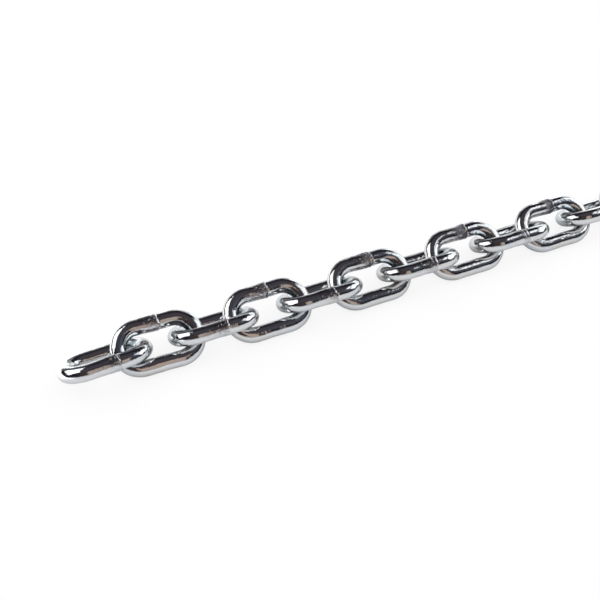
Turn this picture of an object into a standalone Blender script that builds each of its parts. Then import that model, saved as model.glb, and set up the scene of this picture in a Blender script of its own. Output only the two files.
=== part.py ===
# Half a metre of bright zinc-plated short link steel chain, lying slack on a level floor.
# Metres, +Z up. The chain runs along X and is centred on the origin, with the floor at Z = 0.
# Neighbouring links lean opposite ways, and each one rests on its lower leg.

from math import cos, sin, pi, radians

import bmesh
import bpy
from mathutils import Vector

# Driving dimensions
wire_diameter = 0.0050
inner_length = 0.0190            # the pitch of the pulled-straight chain
outer_width = 0.0178
link_count = 27
lean_angle = radians(33)         # between a link's plane and the floor
crown_distance = 0.0062          # between the centre lines of two hooked crowns as the chain lies

# The free first link has slid into the second and lies flatter, and both are slightly turned
first_lean = radians(29.2)
first_turn = radians(2.4)
first_slide = 0.0017
second_turn = radians(-2)
second_slide = 0.0002
second_axis_shift = 0.0010       # its hinge lies off the first crown, so that the wires stay clear as it turns

# Weld on the raised leg, with a sharp step at its right end and a fading one at its left
weld_length = 0.0040
weld_swell = 0.00015
weld_right_step = 0.0002
weld_left_fade = 0.0009

# Fineness
wire_sides = 12
bend_steps = 8

# Sizes that follow
wire_radius = wire_diameter / 2
bend_radius = outer_width / 2 - wire_radius             # of the wire's centre line
crown_reach = inner_length / 2 + wire_radius            # link centre to the crown's centre line
bend_centre = crown_reach - bend_radius
link_spacing = 2 * crown_reach - crown_distance
pivot_to_centre = crown_reach - crown_distance          # a link's centre from its origin
second_pivot_to_centre = pivot_to_centre + second_slide - first_slide + second_axis_shift


def clear_scene():
    for item in list(bpy.data.objects):
        bpy.data.objects.remove(item, do_unlink=True)


def zinc_material():
    material = bpy.data.materials.new("bright_zinc")
    material.use_nodes = True
    shader = material.node_tree.nodes["Principled BSDF"]
    shader.inputs["Base Color"].default_value = (0.78, 0.77, 0.79, 1.0)
    shader.inputs["Metallic"].default_value = 1.0
    shader.inputs["Roughness"].default_value = 0.12
    return material


def bend_stations(centre_x, first_angle):
    """Stations of one half-round bend, turning clockwise from first_angle."""
    stations = []
    for step in range(bend_steps + 1):
        angle = first_angle - pi * step / bend_steps
        outward = (cos(angle), sin(angle))
        centre = (centre_x + bend_radius * outward[0], bend_radius * outward[1])
        stations.append((centre, outward, wire_radius))
    return stations


def weld_stations():
    """Stations of the weld on the raised leg, from its right end to its left."""
    half_length = weld_length / 2
    places = [
        (half_length, wire_radius),
        (half_length - weld_right_step, wire_radius + weld_swell),
        (weld_left_fade - half_length, wire_radius + weld_swell),
        (-half_length, wire_radius),
    ]
    return [((x, -bend_radius), (0.0, -1.0), radius) for x, radius in places]


def ring_points(station, side, lean, pivot):
    """Corners of the wire's section at one station, as the leaning link has them.

    The section has a flat that faces straight down on the lower leg. A side of 1 puts the
    lower leg at +Y and a side of -1 puts it at -Y. The link's centre is the pivot distance
    from its origin.
    """
    (along, across), outward, radius = station
    corner_radius = radius / cos(pi / wire_sides)
    first_corner = lean - pi / 2 - pi / wire_sides
    points = []
    for corner in range(wire_sides):
        angle = first_corner + 2 * pi * corner / wire_sides
        out = corner_radius * cos(angle)
        lift = corner_radius * sin(angle)
        x = along + out * outward[0]
        w = across + out * outward[1]
        y = side * (w * cos(lean) + lift * sin(lean))
        z = lift * cos(lean) - w * sin(lean)
        points.append(Vector((pivot + x, y, z)))
    return points


def link_mesh(name, side, lean, material, pivot=pivot_to_centre):
    stations = bend_stations(bend_centre, pi / 2)
    stations += weld_stations()
    stations += bend_stations(-bend_centre, -pi / 2)

    shape = bmesh.new()
    rings = []
    for station in stations:
        points = ring_points(station, side, lean, pivot)
        rings.append([shape.verts.new(point) for point in points])
    for index, ring in enumerate(rings):
        following = rings[(index + 1) % len(rings)]
        for corner in range(wire_sides):
            beside = (corner + 1) % wire_sides
            shape.faces.new((ring[corner], ring[beside], following[beside], following[corner]))
    bmesh.ops.recalc_face_normals(shape, faces=shape.faces)

    mesh = bpy.data.meshes.new(name)
    shape.to_mesh(mesh)
    shape.free()
    mesh.materials.append(material)
    mesh.shade_smooth()
    return mesh


def centre_height(lean):
    return wire_radius + bend_radius * sin(lean)


def add_link(number, mesh, lean=lean_angle, turn=0.0, slide=0.0, pivot=pivot_to_centre):
    """One link, whose origin is where it turns, in or on the crown of the link before it."""
    link = bpy.data.objects.new(f"link_{number:02d}", mesh)
    centre_x = (number - (link_count + 1) / 2) * link_spacing + slide
    link.location = (centre_x - pivot * cos(turn), -pivot * sin(turn), centre_height(lean))
    link.rotation_euler.z = turn
    bpy.context.scene.collection.objects.link(link)


def build_chain():
    material = zinc_material()
    first_mesh = link_mesh("first_near_side_raised", 1, first_lean, material)
    second_mesh = link_mesh("second_far_side_raised", -1, lean_angle, material, second_pivot_to_centre)
    odd_mesh = link_mesh("near_side_raised", 1, lean_angle, material)
    even_mesh = link_mesh("far_side_raised", -1, lean_angle, material)
    add_link(1, first_mesh, first_lean, first_turn, first_slide)
    add_link(2, second_mesh, lean_angle, second_turn, second_slide, second_pivot_to_centre)
    for number in range(3, link_count + 1):
        add_link(number, odd_mesh if number % 2 else even_mesh)


clear_scene()
build_chain()
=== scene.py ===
import math

import bpy
import numpy as np
from mathutils import Matrix, Vector


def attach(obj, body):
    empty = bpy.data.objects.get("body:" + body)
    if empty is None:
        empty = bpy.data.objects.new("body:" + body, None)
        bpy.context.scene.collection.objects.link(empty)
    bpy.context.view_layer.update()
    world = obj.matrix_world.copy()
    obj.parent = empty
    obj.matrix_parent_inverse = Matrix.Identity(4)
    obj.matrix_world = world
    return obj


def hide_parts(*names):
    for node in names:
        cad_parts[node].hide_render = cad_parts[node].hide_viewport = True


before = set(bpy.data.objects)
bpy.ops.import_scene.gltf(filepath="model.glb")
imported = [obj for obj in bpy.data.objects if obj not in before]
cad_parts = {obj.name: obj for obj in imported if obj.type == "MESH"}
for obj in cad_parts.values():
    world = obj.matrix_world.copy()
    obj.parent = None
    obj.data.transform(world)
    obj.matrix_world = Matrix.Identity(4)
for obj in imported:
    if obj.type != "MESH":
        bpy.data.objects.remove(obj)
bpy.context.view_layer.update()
print("frame loaded:", len(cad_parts), "links")


# The chain as the solids have it, in metres. Odd links have their near leg raised, even ones the far leg.
chainSet = {
    "linkCount": 27,
    "linkSpacing": 0.0178,
    "wireRadius": 0.0025,
    "bendRadius": 0.0064,       # of the wire's middle line
    "halfLeg": 0.0056,          # half of the straight leg
    "leanDegrees": 33.0,
    "wireSteps": 44,            # round the wire
    "bendSteps": 44,
    "plainLegSteps": 28,
    "weldLegSteps": 84,
    "ripple": 0.000016,         # slow unevenness of the drawn and plated wire
    "rippleWaves": ((5, 2, 1.0, 1.0), (9, -1, 2.3, 0.7), (14, 3, 0.6, 0.6)),    # along, round, phase, height
    "rippleMost": 2.3,          # the waves together stay under this, so the wire never swells past its size
    "phasePerLink": 1.7,        # radians, which makes each link's unevenness its own
    "innerSide": (-1.6, -0.3),  # where round the wire its inner side is
    "rubbedBend": (2.4, -1.2),  # and where along it neighbours rub
    "bow": 0.00007,             # how far the legs bulge out of straight
    "slot": "bright_zinc",
}

# The first two links were put down a little askew, the first one slid into the second and flatter.
askewSet = {
    1: {"leanDegrees": 29.2, "turnDegrees": 2.4, "slide": 0.0017},
    2: {"leanDegrees": 33.0, "turnDegrees": -2.0, "slide": 0.0002},
}

# The butt weld on the raised leg: a step ring at its right end, fading out to the left, with lumps where the
# clamps held it and the flash was trimmed. Phases are in radians and shift the pattern from link to link.
weldSet = {
    "rightEdge": 0.0019,
    "leftEdge": -0.0019,
    "swell": 0.00015,
    "edgeWidth": 0.00055,
    "edgeWander": 0.00018,      # how far the ring strays along the wire
    "wanderWaves": ((2, 1.0, 1.0), (5, -1.0, 0.6), (9, 2.0, 0.4)),              # round, phase, height
    "fadeWander": 0.2,          # how unevenly the swelling fades
    "dragLength": 0.0085,       # the trimming dragged flash this far to the left of the ring
    "dragWander": 0.15,
    "dragMean": 0.65,           # how strong it is on the average link
    "dragSwing": 0.35,
    "dragTurn": 0.55,           # how quickly that comes and goes from link to link
    "dragFrom": 2.0,
    "dragTop": (0.7, 0.9),      # the flash lies on the upper side: its share there and how fast it drops
    "burr": 0.00016,
    "burrWidth": 0.00026,
    "burrWave": (3, 1.3),       # round, phase
    "groove": 0.00007,          # on both sides of the ring
    "grooveOut": 2.6,           # how many burr widths away they lie
    "grooveIn": 2.2,
    "lumps": 0.00003,
    "lumpsAlong": (2100.0, 1500.0),     # radians per metre along the wire, of the two waves that make them
    "lumpsRound": (3, 5),
    "lumpsShift": 0.4,
    "most": 0.00016,            # nothing stands further out than this
    "placeSpread": 0.0006,      # how far the welds wander from link to link
    "placeTurn": 2.4,
    "placeFrom": 0.6,
    "burntTurn": 0.45,          # how quickly the dull burnt look comes and goes from link to link
    "burntFrom": 6.0,
    "burntOdd": 0.1,            # how much of it the odd links have
    "dullOdd": 0.25,            # and how much of the weld's dullness
    "ringShift": {1: 0.0008, 3: 0.0003, 5: 0.0006, 7: 0.0014, 9: 0.0004},
}


def smoothStep(value):
    held = np.clip(value, 0.0, 1.0)
    return held * held * (3.0 - 2.0 * held)


# Middle line of a link: two straight legs and two half circles. Gives for each station the place along the
# chain, the place across the link, the outward direction there, the place along the wire, counted from the
# middle of the weld leg to the right, and the share of the way round as an angle.
def linkPath(shape):
    half, bend = shape["halfLeg"], shape["bendRadius"]
    weldX = np.linspace(half, -half, shape["weldLegSteps"], endpoint=False)
    leftTurn = np.linspace(-0.5 * np.pi, -1.5 * np.pi, shape["bendSteps"], endpoint=False)
    plainX = np.linspace(-half, half, shape["plainLegSteps"], endpoint=False)
    rightTurn = np.linspace(0.5 * np.pi, -0.5 * np.pi, shape["bendSteps"], endpoint=False)
    along = np.concatenate([weldX, -half + bend * np.cos(leftTurn), plainX, half + bend * np.cos(rightTurn)])
    across = np.concatenate([np.full_like(weldX, -bend), bend * np.sin(leftTurn),
                             np.full_like(plainX, bend), bend * np.sin(rightTurn)])
    outAlong = np.concatenate([np.zeros_like(weldX), np.cos(leftTurn),
                               np.zeros_like(plainX), np.cos(rightTurn)])
    outAcross = np.concatenate([np.full_like(weldX, -1.0), np.sin(leftTurn),
                                np.ones_like(plainX), np.sin(rightTurn)])
    stride = np.hypot(np.diff(along, append=along[0]), np.diff(across, append=across[0]))
    run = np.concatenate([[0.0], np.cumsum(stride)[:-1]])
    return along, across, outAlong, outAcross, half - run, 2.0 * np.pi * run / stride.sum()


# Radius of the wire at each station and angle: the plain radius, less a slow ripple made of three sine waves
# that close on themselves, plus the weld, which rises in a narrow wandering step at its right end and sinks
# slowly to the left. Also gives how much of the weld there is at each point, and of the flash dragged over
# the upper side.
def wireRadius(shape, weld, number, loop, turn, wirePlace):
    phase = shape["phasePerLink"] * number
    ripple = sum(height * np.sin(alongCount * loop + roundCount * turn + shift * phase)
                 for alongCount, roundCount, shift, height in shape["rippleWaves"])
    wander = sum(height * np.sin(roundCount * turn + shift * phase)
                 for roundCount, shift, height in weld["wanderWaves"])
    strayed = weld["placeSpread"] * math.sin(weld["placeTurn"] * number + weld["placeFrom"])
    place = wirePlace - strayed - weld["ringShift"].get(number, 0.0)
    fromRing = weld["rightEdge"] + weld["edgeWander"] * wander - place
    rise = smoothStep(fromRing / weld["edgeWidth"] + 0.5)
    width = weld["rightEdge"] - weld["leftEdge"]
    fade = smoothStep(1.0 + (weld["edgeWidth"] - fromRing) * (1.0 + weld["fadeWander"] * wander) / width)
    zone = rise * fade
    uneven = 1.0 + weld["dragWander"] * wander
    drag = rise * smoothStep(1.0 + (weld["edgeWidth"] - fromRing) * uneven / weld["dragLength"])
    swing = weld["dragSwing"] * math.sin(weld["dragTurn"] * (number - weld["dragFrom"]))
    drag = drag * (weld["dragMean"] + swing)
    topShare, topDrop = weld["dragTop"]
    drag = drag * smoothStep(topShare + topDrop * np.sin(turn))
    burr = np.exp(-((fromRing - weld["burrWidth"]) / weld["burrWidth"]) ** 2)
    burrCount, burrShift = weld["burrWave"]
    notches = np.sin(burrCount * turn + burrShift * phase) * np.sin(turn + phase)
    burr = burr * np.clip(0.5 + 0.5 * notches, 0.0, 1.0)
    beside = fromRing - weld["burrWidth"]
    groove = (np.exp(-((beside - weld["grooveOut"] * weld["burrWidth"]) / weld["burrWidth"]) ** 2)
              + np.exp(-((beside + weld["grooveIn"] * weld["burrWidth"]) / weld["burrWidth"]) ** 2))
    quick, slow = weld["lumpsAlong"]
    fewer, more = weld["lumpsRound"]
    shifted = weld["lumpsShift"] * phase
    lumps = np.sin(quick * place + fewer * turn + phase) * np.sin(more * turn - slow * place + shifted)
    extra = (weld["swell"] * zone + weld["burr"] * burr + weld["lumps"] * lumps * zone
             - weld["groove"] * groove)
    rippled = shape["ripple"] * (ripple - shape["rippleMost"])
    radius = shape["wireRadius"] + rippled + np.minimum(extra, weld["most"])
    return radius, np.clip(zone + burr, 0.0, 1.0), drag


# A link as one closed tube: station by angle, each point the middle line plus the radius times the outward
# and the lift direction. The plane of the link leans about the chain's length, and the link is set down on
# the floor.
def linkPoints(shape, weld, number, askew):
    along, across, outAlong, outAcross, wirePlace, loop = [part[:, None] for part in linkPath(shape)]
    turn = np.linspace(0.0, 2.0 * np.pi, shape["wireSteps"], endpoint=False)[None, :]
    radius, zone, drag = wireRadius(shape, weld, number, loop, turn, wirePlace)
    onLeg = np.clip(1.0 - (along / shape["halfLeg"]) ** 2, 0.0, 1.0) ** 2
    bowed = across * (1.0 - shape["bow"] * onLeg / shape["bendRadius"])
    x = along + radius * np.cos(turn) * outAlong
    w = bowed + radius * np.cos(turn) * outAcross
    lift = radius * np.sin(turn)
    own = askew.get(number, {"leanDegrees": shape["leanDegrees"], "turnDegrees": 0.0, "slide": 0.0})
    lean = math.radians(own["leanDegrees"])
    side = 1.0 if number % 2 else -1.0
    y = side * (w * math.cos(lean) + lift * math.sin(lean))
    z = (lift * math.cos(lean) - w * math.sin(lean) + shape["wireRadius"]
         + shape["bendRadius"] * math.sin(lean))
    middle = (number - 0.5 * (shape["linkCount"] + 1)) * shape["linkSpacing"]
    yaw = math.radians(own["turnDegrees"])
    x, y = x * math.cos(yaw) - y * math.sin(yaw), x * math.sin(yaw) + y * math.cos(yaw)
    points = np.stack([x + middle + own["slide"], y, z], axis=-1)
    innerSlope, innerFrom = shape["innerSide"]
    bendSlope, bendFrom = shape["rubbedBend"]
    inner = smoothStep(innerSlope * np.cos(turn) + innerFrom)
    rubbed = inner * smoothStep(bendSlope * np.abs(outAlong) + bendFrom)
    whole = np.ones_like(x)
    wire = np.stack([np.cos(turn) * whole, np.sin(turn) * whole, np.cos(loop) * whole], axis=-1)
    duller = zone * (0.5 + 0.5 * math.sin(weld["burntTurn"] * (number - weld["burntFrom"])))
    burnt = duller * (weld["burntOdd"] if number % 2 else 1.0)
    dull = zone * weld["dullOdd"] if number % 2 else duller
    marks = {"weldZone": zone, "dragZone": drag, "dullZone": dull, "burntZone": burnt,
             "rubZone": rubbed * whole, "wireTurn": np.sin(loop) * whole + 10.0 * number}
    return points, wire, marks


# Four-sided faces over a grid that closes on itself both ways. Mirrored links are wound the other way, so
# that all faces point out.
def closedGridFaces(rows, columns, mirrored):
    i, j = np.meshgrid(np.arange(rows), np.arange(columns), indexing="ij")
    nextI, nextJ = (i + 1) % rows, (j + 1) % columns
    corners = [i * columns + j, i * columns + nextJ, nextI * columns + nextJ, nextI * columns + j]
    return np.stack(corners[::-1] if mirrored else corners, axis=-1).reshape(-1, 4)


# Writes whole arrays into a new mesh. The wire attributes run round the wire and along it without a seam, for
# the drawing marks, and the zones say where the weld is and where neighbours rub.
def gridMesh(name, points, wire, marks, mirrored):
    rows, columns = points.shape[:2]
    faces = closedGridFaces(rows, columns, mirrored)
    mesh = bpy.data.meshes.new(name)
    mesh.vertices.add(rows * columns)
    mesh.loops.add(faces.size)
    mesh.polygons.add(len(faces))
    mesh.vertices.foreach_set("co", points.astype(np.float32).ravel())
    mesh.loops.foreach_set("vertex_index", faces.astype(np.int32).ravel())
    mesh.polygons.foreach_set("loop_start", np.arange(0, faces.size, 4, dtype=np.int32))
    mesh.polygons.foreach_set("use_smooth", np.ones(len(faces), dtype=bool))
    wireRound = mesh.attributes.new("wireRound", "FLOAT_VECTOR", "POINT")
    wireRound.data.foreach_set("vector", wire.astype(np.float32).ravel())
    for key, values in marks.items():
        mark = mesh.attributes.new(key, "FLOAT", "POINT")
        mark.data.foreach_set("value", values.astype(np.float32).ravel())
    mesh.update(calc_edges=True)
    mesh.validate()
    return mesh


def makeChain(shape, weld, askew, material):
    for number in range(1, shape["linkCount"] + 1):
        node = f"link_{number:02d}"
        points, wire, marks = linkPoints(shape, weld, number, askew)
        mesh = gridMesh(f"bright_{node}", points, wire, marks, number % 2 == 0)
        mesh.materials.append(material)
        piece = bpy.data.objects.new(f"bright_{node}", mesh)
        bpy.context.collection.objects.link(piece)
        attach(piece, node)
        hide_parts(node)


# A node with its place in the editor and its fixed values. Keys that name a socket set it, and the others set
# the node.
def addNode(tree, kind, x, y, **values):
    node = tree.nodes.new(kind)
    node.location = (x, y)
    for key, value in values.items():
        if key in node.inputs:
            node.inputs[key].default_value = value
        else:
            setattr(node, key, value)
    return node


def mathNode(tree, operation, x, y, *sources):
    node = addNode(tree, "ShaderNodeMath", x, y, operation=operation)
    for place, source in enumerate(sources):
        if isinstance(source, (int, float)):
            node.inputs[place].default_value = source
        else:
            tree.links.new(source, node.inputs[place])
    return node.outputs[0]


def colourMix(tree, x, y, factor, first, second):
    node = addNode(tree, "ShaderNodeMix", x, y, data_type="RGBA")
    for socket, source in ((node.inputs[0], factor), (node.inputs[6], first), (node.inputs[7], second)):
        if isinstance(source, bpy.types.NodeSocket):
            tree.links.new(source, socket)
        else:
            socket.default_value = source
    return node.outputs[2]


# Spreads the part of a value between two limits over 0 to 1.
def spreadNode(tree, x, y, limits, source, **values):
    node = addNode(tree, "ShaderNodeMapRange", x, y, **values)
    node.inputs["From Min"].default_value, node.inputs["From Max"].default_value = limits
    tree.links.new(source, node.inputs["Value"])
    return node.outputs[0]


# A bump on top of the one below it.
def bumpOver(tree, x, depth, height, below=None):
    node = addNode(tree, "ShaderNodeBump", x, -100, Strength=1.0, Distance=depth)
    tree.links.new(height, node.inputs["Height"])
    if below is not None:
        tree.links.new(below, node.inputs["Normal"])
    return node.outputs[0]


def newGroup(name, inputs, outputs):
    group = bpy.data.node_groups.new(name, "ShaderNodeTree")
    for label, kind, value in inputs:
        socket = group.interface.new_socket(name=label, in_out="INPUT", socket_type=kind)
        if value is not None:
            socket.default_value = value
    for label, kind in outputs:
        group.interface.new_socket(name=label, in_out="OUTPUT", socket_type=kind)
    enter = addNode(group, "NodeGroupInput", -900, 0)
    leave = addNode(group, "NodeGroupOutput", 700, 0)
    return group, enter, leave


def placeGroup(tree, group, x, y, links, **values):
    node = tree.nodes.new("ShaderNodeGroup")
    node.node_tree = group
    node.location = (x, y)
    for label, source in links.items():
        tree.links.new(source, node.inputs[label])
    for label, value in values.items():
        node.inputs[label].default_value = value
    return node


# What the surface groups below share out: sizes and depths are parts of the noise that they belong to.
surfaceSet = {
    "fineRatio": 3.3,           # how much finer the second noise is
    "fineShare": 0.25,
    "pitSize": 0.22,            # of a cell
    "pitSteepness": 6.0,
    "pitDepth": 0.5,
    "tintRange": (0.35, 0.68),  # of the noise between the two tints
}


# Marks that run lengthwise on drawn wire: noise that is fine round the wire and long along it.
def drawLinesGroup():
    group, enter, leave = newGroup(
        "drawLines",
        [("Round", "NodeSocketVector", None), ("Turn", "NodeSocketFloat", 0.0),
         ("Fineness", "NodeSocketFloat", 7.0), ("Stretch", "NodeSocketFloat", 0.15)],
        [("Height", "NodeSocketFloat")])
    short = addNode(group, "ShaderNodeCombineXYZ", -700, -200, X=1.0, Y=1.0)
    group.links.new(enter.outputs["Stretch"], short.inputs["Z"])
    squeezed = addNode(group, "ShaderNodeVectorMath", -500, 0, operation="MULTIPLY")
    group.links.new(enter.outputs["Round"], squeezed.inputs[0])
    group.links.new(short.outputs[0], squeezed.inputs[1])
    turned = mathNode(group, "MULTIPLY", -500, -300, enter.outputs["Turn"], enter.outputs["Stretch"])
    noise = addNode(group, "ShaderNodeTexNoise", -250, 0, noise_dimensions="4D", Detail=3.0, Roughness=0.6)
    group.links.new(squeezed.outputs[0], noise.inputs["Vector"])
    group.links.new(turned, noise.inputs["W"])
    group.links.new(enter.outputs["Fineness"], noise.inputs["Scale"])
    group.links.new(noise.outputs["Fac"], leave.inputs["Height"])
    return group


# The soft unevenness of bright plating, two sizes of noise added together, and a scatter of small pits.
def platingGroup(surface):
    group, enter, leave = newGroup(
        "platingSurface",
        [("Vector", "NodeSocketVector", None), ("Scale", "NodeSocketFloat", 1200.0),
         ("Pits", "NodeSocketFloat", 0.3)],
        [("Height", "NodeSocketFloat"), ("Pit", "NodeSocketFloat")])
    wide = addNode(group, "ShaderNodeTexNoise", -500, 200, Detail=2.0, Roughness=0.5)
    group.links.new(enter.outputs["Vector"], wide.inputs["Vector"])
    group.links.new(enter.outputs["Scale"], wide.inputs["Scale"])
    fineScale = mathNode(group, "MULTIPLY", -700, 0, enter.outputs["Scale"], surface["fineRatio"])
    fine = addNode(group, "ShaderNodeTexNoise", -500, 0, Detail=2.0, Roughness=0.6)
    group.links.new(enter.outputs["Vector"], fine.inputs["Vector"])
    group.links.new(fineScale, fine.inputs["Scale"])
    cells = addNode(group, "ShaderNodeTexVoronoi", -500, -250, feature="F1", Randomness=1.0)
    group.links.new(enter.outputs["Vector"], cells.inputs["Vector"])
    group.links.new(enter.outputs["Scale"], cells.inputs["Scale"])
    near = mathNode(group, "SUBTRACT", -300, -250, surface["pitSize"], cells.outputs["Distance"])
    pit = mathNode(group, "MULTIPLY", -150, -250, near, surface["pitSteepness"])
    chosen = mathNode(group, "GREATER_THAN", -300, -420, enter.outputs["Pits"], cells.outputs["Color"])
    held = addNode(group, "ShaderNodeClamp", 0, -250)
    group.links.new(mathNode(group, "MULTIPLY", -50, -380, pit, chosen), held.inputs["Value"])
    smaller = mathNode(group, "MULTIPLY", -250, 0, fine.outputs["Fac"], surface["fineShare"])
    both = mathNode(group, "ADD", -50, 100, wide.outputs["Fac"], smaller)
    sunk = mathNode(group, "MULTIPLY", 100, -200, held.outputs[0], surface["pitDepth"])
    height = mathNode(group, "SUBTRACT", 200, 0, both, sunk)
    group.links.new(height, leave.inputs["Height"])
    group.links.new(held.outputs[0], leave.inputs["Pit"])
    return group


# Slow drift of the blue and straw tints that passivated zinc has.
def passivationGroup(surface):
    group, enter, leave = newGroup(
        "passivationTint",
        [("Vector", "NodeSocketVector", None), ("Scale", "NodeSocketFloat", 90.0),
         ("Blue", "NodeSocketColor", (0.7, 0.75, 0.8, 1.0)),
         ("Straw", "NodeSocketColor", (0.78, 0.75, 0.7, 1.0))],
        [("Colour", "NodeSocketColor")])
    noise = addNode(group, "ShaderNodeTexNoise", -500, 0, Detail=3.0, Roughness=0.55)
    group.links.new(enter.outputs["Vector"], noise.inputs["Vector"])
    group.links.new(enter.outputs["Scale"], noise.inputs["Scale"])
    spread = spreadNode(group, -250, 0, surface["tintRange"], noise.outputs["Fac"])
    colour = colourMix(group, 100, 0, spread, enter.outputs["Blue"], enter.outputs["Straw"])
    group.links.new(colour, leave.inputs["Colour"])
    return group


zincSet = {
    "blue": (0.715, 0.750, 0.775, 1.0),
    "straw": (0.755, 0.750, 0.740, 1.0),
    "tintScale": 95.0,
    "roughness": 0.06,
    "rubbedRoughness": 0.22,
    "weldRoughness": 0.18,
    "weldColour": (0.17, 0.165, 0.185, 1.0),
    "burntColour": (0.060, 0.060, 0.076, 1.0),
    "speckColour": (0.90, 0.52, 0.16, 1.0),
    "speckScale": 760.0,
    "speckShare": 0.62,             # about how many of the cells hold a pit, here and below
    "stainColour": (0.22, 0.20, 0.24, 1.0),
    "dragScale": 950.0,
    "dragShare": 0.35,
    "dragDepth": 0.00022,
    "rubbedColour": (0.46, 0.53, 0.56, 1.0),
    "waveScale": 420.0,
    "waveDepth": 0.000060,
    "peelScale": 1150.0,
    "peelShare": 0.36,
    "peelDepth": 0.000036,
    "weldScale": 2300.0,
    "weldShare": 0.55,
    "weldDepth": 0.000060,
    "lineDepth": 0.000022,
    "lineFineness": 7.0,
    "patchScale": 1100.0,           # patches of dull, rubbed, stained and burnt
    "patchRange": (0.36, 0.56),     # of the noise that makes them
    "burntRange": (0.30, 0.42),
    "burntNotMetal": 0.7,
    "streakRoughness": 0.05,        # how much the draw lines vary the roughness, about its middle
}


# Bright zinc plating: a mirror that passivation tints, with the wire's draw lines, the plating's unevenness,
# duller rubbed places in the bends, stained and straw-specked flash beside the ring, and a pitted, darker
# weld.
def zincMaterial(values):
    material = bpy.data.materials.new("brightZinc")
    material.use_nodes = True
    tree = material.node_tree
    tree.nodes.clear()
    out = addNode(tree, "ShaderNodeOutputMaterial", 1200, 0)
    shader = addNode(tree, "ShaderNodeBsdfPrincipled", 900, 0, Metallic=1.0)
    place = addNode(tree, "ShaderNodeTexCoord", -1300, 0).outputs["Object"]
    roundMark = addNode(tree, "ShaderNodeAttribute", -1300, -300, attribute_name="wireRound")
    wireRound = roundMark.outputs["Vector"]
    wireTurn, weldZone, rubZone, burntZone, dullZone, dragZone = [
        addNode(tree, "ShaderNodeAttribute", -1300, -450 - 150 * row, attribute_name=name).outputs["Fac"]
        for row, name in enumerate(("wireTurn", "weldZone", "rubZone", "burntZone", "dullZone", "dragZone"))]

    plating = platingGroup(surfaceSet)
    peel = placeGroup(tree, plating, -900, 200, {"Vector": place}, Scale=values["peelScale"],
                      Pits=values["peelShare"])
    scale = placeGroup(tree, plating, -900, 0, {"Vector": place}, Scale=values["weldScale"],
                       Pits=values["weldShare"])
    lines = placeGroup(tree, drawLinesGroup(), -900, -250, {"Round": wireRound, "Turn": wireTurn},
                       Fineness=values["lineFineness"])
    tint = placeGroup(tree, passivationGroup(surfaceSet), -900, 450, {"Vector": place},
                      Scale=values["tintScale"], Blue=values["blue"], Straw=values["straw"])

    patchy = addNode(tree, "ShaderNodeTexNoise", -900, -600, Scale=values["patchScale"], Detail=3.0,
                     Roughness=0.7)
    tree.links.new(place, patchy.inputs["Vector"])
    patch = spreadNode(tree, -700, -600, values["patchRange"], patchy.outputs["Fac"])
    dull = mathNode(tree, "MULTIPLY", -450, -500, dullZone, patch)
    specks = placeGroup(tree, plating, -900, -150, {"Vector": place}, Scale=values["speckScale"],
                        Pits=values["speckShare"])
    speck = mathNode(tree, "MULTIPLY", -450, -700, specks.outputs["Pit"], dragZone)
    stain = mathNode(tree, "MULTIPLY", -450, -1100, dragZone, patch)
    burntPatch = spreadNode(tree, -700, -900, values["burntRange"], patchy.outputs["Fac"])
    burnt = mathNode(tree, "MULTIPLY", -450, -950, burntZone, burntPatch)
    rubbed = mathNode(tree, "MULTIPLY", -450, -850, rubZone, patch)

    worn = colourMix(tree, -400, 400, rubbed, tint.outputs["Colour"], values["rubbedColour"])
    stained = colourMix(tree, -250, 400, stain, worn, values["stainColour"])
    dulled = colourMix(tree, -100, 400, dull, stained, values["weldColour"])
    greyed = colourMix(tree, 50, 400, burnt, dulled, values["burntColour"])
    colour = colourMix(tree, 200, 400, speck, greyed, values["speckColour"])
    tree.links.new(colour, shader.inputs["Base Color"])
    lessMetal = mathNode(tree, "MULTIPLY", 50, 200, burnt, values["burntNotMetal"])
    plated = mathNode(tree, "SUBTRACT", 200, 200, 1.0, lessMetal)
    metal = addNode(tree, "ShaderNodeClamp", 500, 200)
    tree.links.new(mathNode(tree, "SUBTRACT", 350, 200, plated, speck), metal.inputs["Value"])
    tree.links.new(metal.outputs[0], shader.inputs["Metallic"])

    atWeld = mathNode(tree, "MULTIPLY", 0, -400, dull, values["weldRoughness"] - values["roughness"])
    atRub = mathNode(tree, "MULTIPLY", 0, -550, rubbed, values["rubbedRoughness"] - values["roughness"])
    streak = mathNode(tree, "MULTIPLY", 0, -700, lines.outputs["Height"], values["streakRoughness"])
    plain = mathNode(tree, "ADD", 200, -600, streak, values["roughness"] - 0.5 * values["streakRoughness"])
    marked = mathNode(tree, "ADD", 350, -400, atWeld, atRub)
    tree.links.new(mathNode(tree, "ADD", 500, -400, marked, plain), shader.inputs["Roughness"])

    wave = placeGroup(tree, plating, -900, 620, {"Vector": place}, Scale=values["waveScale"], Pits=0.0)
    dragged = placeGroup(tree, plating, -900, 800, {"Vector": place}, Scale=values["dragScale"],
                         Pits=values["dragShare"])
    dragHeight = mathNode(tree, "MULTIPLY", 400, -250, dragged.outputs["Height"], dragZone)
    weldHeight = mathNode(tree, "MULTIPLY", 500, -250, scale.outputs["Height"], weldZone)
    normal = bumpOver(tree, 300, values["lineDepth"], lines.outputs["Height"])
    normal = bumpOver(tree, 400, values["waveDepth"], wave.outputs["Height"], normal)
    normal = bumpOver(tree, 500, values["peelDepth"], peel.outputs["Height"], normal)
    normal = bumpOver(tree, 600, values["dragDepth"], dragHeight, normal)
    normal = bumpOver(tree, 700, values["weldDepth"], weldHeight, normal)
    tree.links.new(normal, shader.inputs["Normal"])
    tree.links.new(shader.outputs["BSDF"], out.inputs["Surface"])
    return material


makeChain(chainSet, weldSet, askewSet, zincMaterial(zincSet))
print("chain made")


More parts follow.
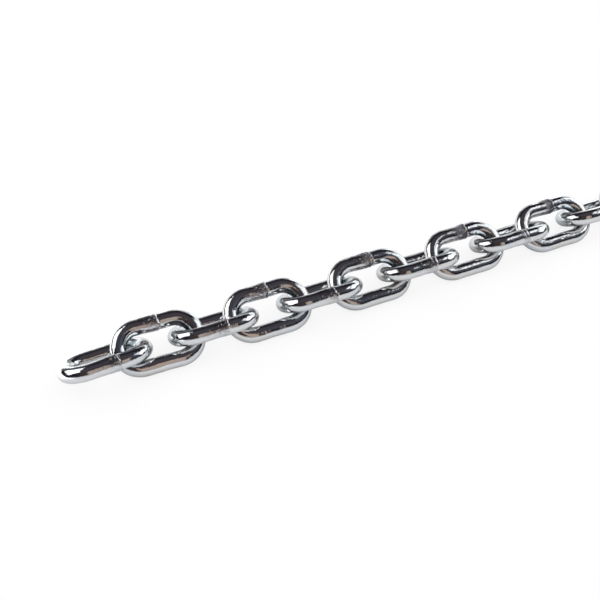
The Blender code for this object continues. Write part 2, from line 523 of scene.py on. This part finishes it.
floorSet = {
    "halfSize": 4.0,
    "roughness": 0.9,
    "seen": (0.09, 0.09, 0.09, 1.0),        # what the camera sees, of which only this part takes shadows
    "seenGlow": (0.86, 0.86, 0.86, 1.0),
    "mirrored": (0.62, 0.62, 0.63, 1.0),    # what the bright links mirror, a greyer table
    # painted light: beyond the chain's left end the mirrored table is paler, as if a lamp lit it there
    "paintedLightLeft": (0.98, 0.98, 0.97, 1.0),
    "leftFrom": -0.244,                     # of X less Y
    "leftTo": -0.272,
    "paintedGlowLeft": (0.42, 0.42, 0.41, 1.0),    # painted glow: a pool of light on the floor beyond the left end, seen only in reflections
    "farFrom": 0.018,                       # painted light: the mirrored table gets lighter behind the chain
    "farTo": 0.090,
}


# A flat sheet of smooth board. The camera sees mostly its own pale glow, so shadows on it are faint. The
# links mirror it as a greyer table that takes full shadows. Painted light: the mirrored table is paler
# beyond their left end and behind them, and beyond the left end it glows for reflections, with no lamp there.
def makeFloor(values):
    half = values["halfSize"]
    mesh = bpy.data.meshes.new("floor")
    corners = [(-half, -half, 0), (half, -half, 0), (half, half, 0), (-half, half, 0)]
    mesh.from_pydata(corners, [], [(0, 1, 2, 3)])
    floor = bpy.data.objects.new("floor", mesh)
    bpy.context.collection.objects.link(floor)
    material = bpy.data.materials.new("paleFloor")
    material.use_nodes = True
    tree = material.node_tree
    shader = tree.nodes["Principled BSDF"]
    shader.inputs["Roughness"].default_value = values["roughness"]
    place = addNode(tree, "ShaderNodeTexCoord", -1100, 0)
    split = addNode(tree, "ShaderNodeSeparateXYZ", -900, 0)
    tree.links.new(place.outputs["Object"], split.inputs[0])
    slanted = mathNode(tree, "SUBTRACT", -800, 100, split.outputs["X"], split.outputs["Y"])
    left = spreadNode(tree, -700, 0, (values["leftFrom"], values["leftTo"]), slanted,
                      interpolation_type="SMOOTHSTEP")
    # painted light: the table that the links mirror turns paler behind the chain
    behind = spreadNode(tree, -700, -300, (values["farFrom"], values["farTo"]), split.outputs["Y"],
                        interpolation_type="SMOOTHSTEP")
    pale = mathNode(tree, "MAXIMUM", -550, -150, left, behind)
    # painted light: the table the links mirror is paler beyond their left end and behind them
    mirrored = colourMix(tree, -450, 0, pale, values["mirrored"], values["paintedLightLeft"])
    path = addNode(tree, "ShaderNodeLightPath", -700, 300)
    # painted glow: beyond the left end the floor glows for every ray but the camera's, with no lamp there
    paintedGlowInMirror = colourMix(tree, -450, 300, left, (0.0, 0.0, 0.0, 1.0), values["paintedGlowLeft"])
    glow = colourMix(tree, -250, 300, path.outputs["Is Camera Ray"], paintedGlowInMirror, values["seenGlow"])
    tree.links.new(glow, shader.inputs["Emission Color"])
    shader.inputs["Emission Strength"].default_value = 1.0
    tree.links.new(colourMix(tree, -250, 0, path.outputs["Is Camera Ray"], mirrored, values["seen"]),
                   shader.inputs["Base Color"])
    mesh.materials.append(material)


makeFloor(floorSet)


studioSet = {
    "aim": (-0.150, 0.0, 0.006),
    "skyLight": 2.90,           # from above with soft shadows
    "skyFill": 0.25,            # the same without shadows
    "skyAngleDegrees": 120.0,
    "backdrop": (0.95, 0.95, 0.95),
    "dark": (0.019, 0.016, 0.023),
}

# Crisp panels round the chain: compass direction from the near side towards the right, height above the
# horizon, distance, width, height, brightness and colour.
panelSet = {
    "windowLeft": (-117.0, 39.0, 0.50, 0.44, 0.35, 1.9, (1.0, 1.0, 0.99)),
    "softboxRight": (86.0, 29.0, 0.60, 0.47, 0.31, 1.7, (0.97, 0.99, 1.0)),
    "softboxTop": (76.0, 53.0, 0.60, 0.30, 0.11, 1.25, (0.97, 0.99, 1.0)),
    "windowRight": (120.0, 9.0, 0.60, 0.48, 0.30, 1.1, (0.98, 0.99, 1.0)),
    "backWall": (152.0, 12.0, 0.70, 0.42, 0.36, 0.45, (0.96, 0.98, 1.0)),
    "brownWall": (0.0, 34.0, 1.0, 0.36, 0.75, 0.46, (1.0, 0.78, 0.65)),
    "frontCard": (-12.0, 5.0, 0.80, 3.00, 0.20, 0.50, (1.0, 1.0, 0.98)),
}

# Soft glows on the dark room's walls: compass direction, height, half width, how much of it is full, colour.
glowSet = {
    "ceiling": (0.0, 88.0, 42.0, 8.0, (0.064, 0.058, 0.068)),
    "slate": (52.0, 44.0, 28.0, 10.0, (0.085, 0.090, 0.110)),
    "doorway": (-24.0, 40.0, 34.0, 8.0, (0.060, 0.044, 0.040)),
    "backGlow": (-176.0, 8.0, 32.0, 6.0, (0.16, 0.165, 0.18)),
}


def directionOf(azimuth, elevation):
    a, e = math.radians(azimuth), math.radians(elevation)
    return Vector((math.sin(a) * math.cos(e), -math.cos(a) * math.cos(e), math.sin(e)))


def makePanel(name, aim, azimuth, elevation, distance, width, height, brightness, colour):
    light = bpy.data.lights.new(name, "AREA")
    light.shape = "RECTANGLE"
    light.size, light.size_y = width, height
    light.energy = brightness * math.pi * width * height
    light.color = colour
    panel = bpy.data.objects.new(name, light)
    bpy.context.collection.objects.link(panel)
    away = directionOf(azimuth, elevation)
    panel.location = Vector(aim) + away * distance
    panel.rotation_euler = away.to_track_quat("Z", "Y").to_euler()
    panel.visible_camera = False


def makeSky(name, strength, angle, shadows):
    sky = bpy.data.lights.new(name, "SUN")
    sky.energy = strength
    sky.angle = math.radians(angle)
    sky.use_shadow = shadows
    lamp = bpy.data.objects.new(name, sky)
    bpy.context.collection.objects.link(lamp)
    lamp.visible_glossy = False


# The room that the links mirror is dark, with soft glows. The camera sees a plain pale backdrop instead.
def makeRoom(values, glows):
    world = bpy.data.worlds.new("darkRoom")
    world.use_nodes = True
    bpy.context.scene.world = world
    tree = world.node_tree
    tree.nodes.clear()
    direction = addNode(tree, "ShaderNodeTexCoord", -1400, 0).outputs["Generated"]
    colour = (*values["dark"], 1.0)
    for step, (azimuth, elevation, half, full, glow) in enumerate(glows.values()):
        towards = addNode(tree, "ShaderNodeVectorMath", -1200, -300 * step, operation="DOT_PRODUCT")
        towards.inputs[1].default_value = directionOf(azimuth, elevation)
        tree.links.new(direction, towards.inputs[0])
        limits = (math.cos(math.radians(half)), math.cos(math.radians(full)))
        share = spreadNode(tree, -1000, -300 * step, limits, towards.outputs["Value"],
                           interpolation_type="SMOOTHSTEP")
        colour = colourMix(tree, -700 + 150 * step, -200 * step, share, colour, (*glow, 1.0))
    room = addNode(tree, "ShaderNodeBackground", 200, 0)
    tree.links.new(colour, room.inputs["Color"])
    backdrop = addNode(tree, "ShaderNodeBackground", 200, -200, Color=(*values["backdrop"], 1.0))
    path = addNode(tree, "ShaderNodeLightPath", 0, 300)
    mix = addNode(tree, "ShaderNodeMixShader", 400, 0)
    out = addNode(tree, "ShaderNodeOutputWorld", 600, 0)
    tree.links.new(path.outputs["Is Camera Ray"], mix.inputs[0])
    tree.links.new(room.outputs[0], mix.inputs[1])
    tree.links.new(backdrop.outputs[0], mix.inputs[2])
    tree.links.new(mix.outputs[0], out.inputs["Surface"])


makeSky("skyLight", studioSet["skyLight"], studioSet["skyAngleDegrees"], True)
makeSky("skyFill", studioSet["skyFill"], studioSet["skyAngleDegrees"], False)
for panelName, panelRow in panelSet.items():
    makePanel(panelName, studioSet["aim"], *panelRow)
makeRoom(studioSet, glowSet)


cameraSet = {
    "place": (-0.24800, -0.18503, 0.19528),
    "right": (0.91521, -0.40296, -0.00214),
    "forward": (0.29270, 0.66841, -0.68378),
    "lens": 52.686,
    "sensorWidth": 36.0,
    "clip": (0.01, 50.0),
}


def makeCamera(values):
    data = bpy.data.cameras.new("camera")
    data.lens = values["lens"]
    data.sensor_width = values["sensorWidth"]
    data.clip_start, data.clip_end = values["clip"]
    camera = bpy.data.objects.new("camera", data)
    bpy.context.collection.objects.link(camera)
    right = Vector(values["right"]).normalized()
    back = -Vector(values["forward"]).normalized()
    up = back.cross(right).normalized()
    right = up.cross(back)
    turn = Matrix((right, up, back)).transposed().to_4x4()
    camera.matrix_world = Matrix.Translation(values["place"]) @ turn
    bpy.context.scene.camera = camera


makeCamera(cameraSet)
bpy.context.scene.view_settings.view_transform = "Standard"
print("studio and camera made")
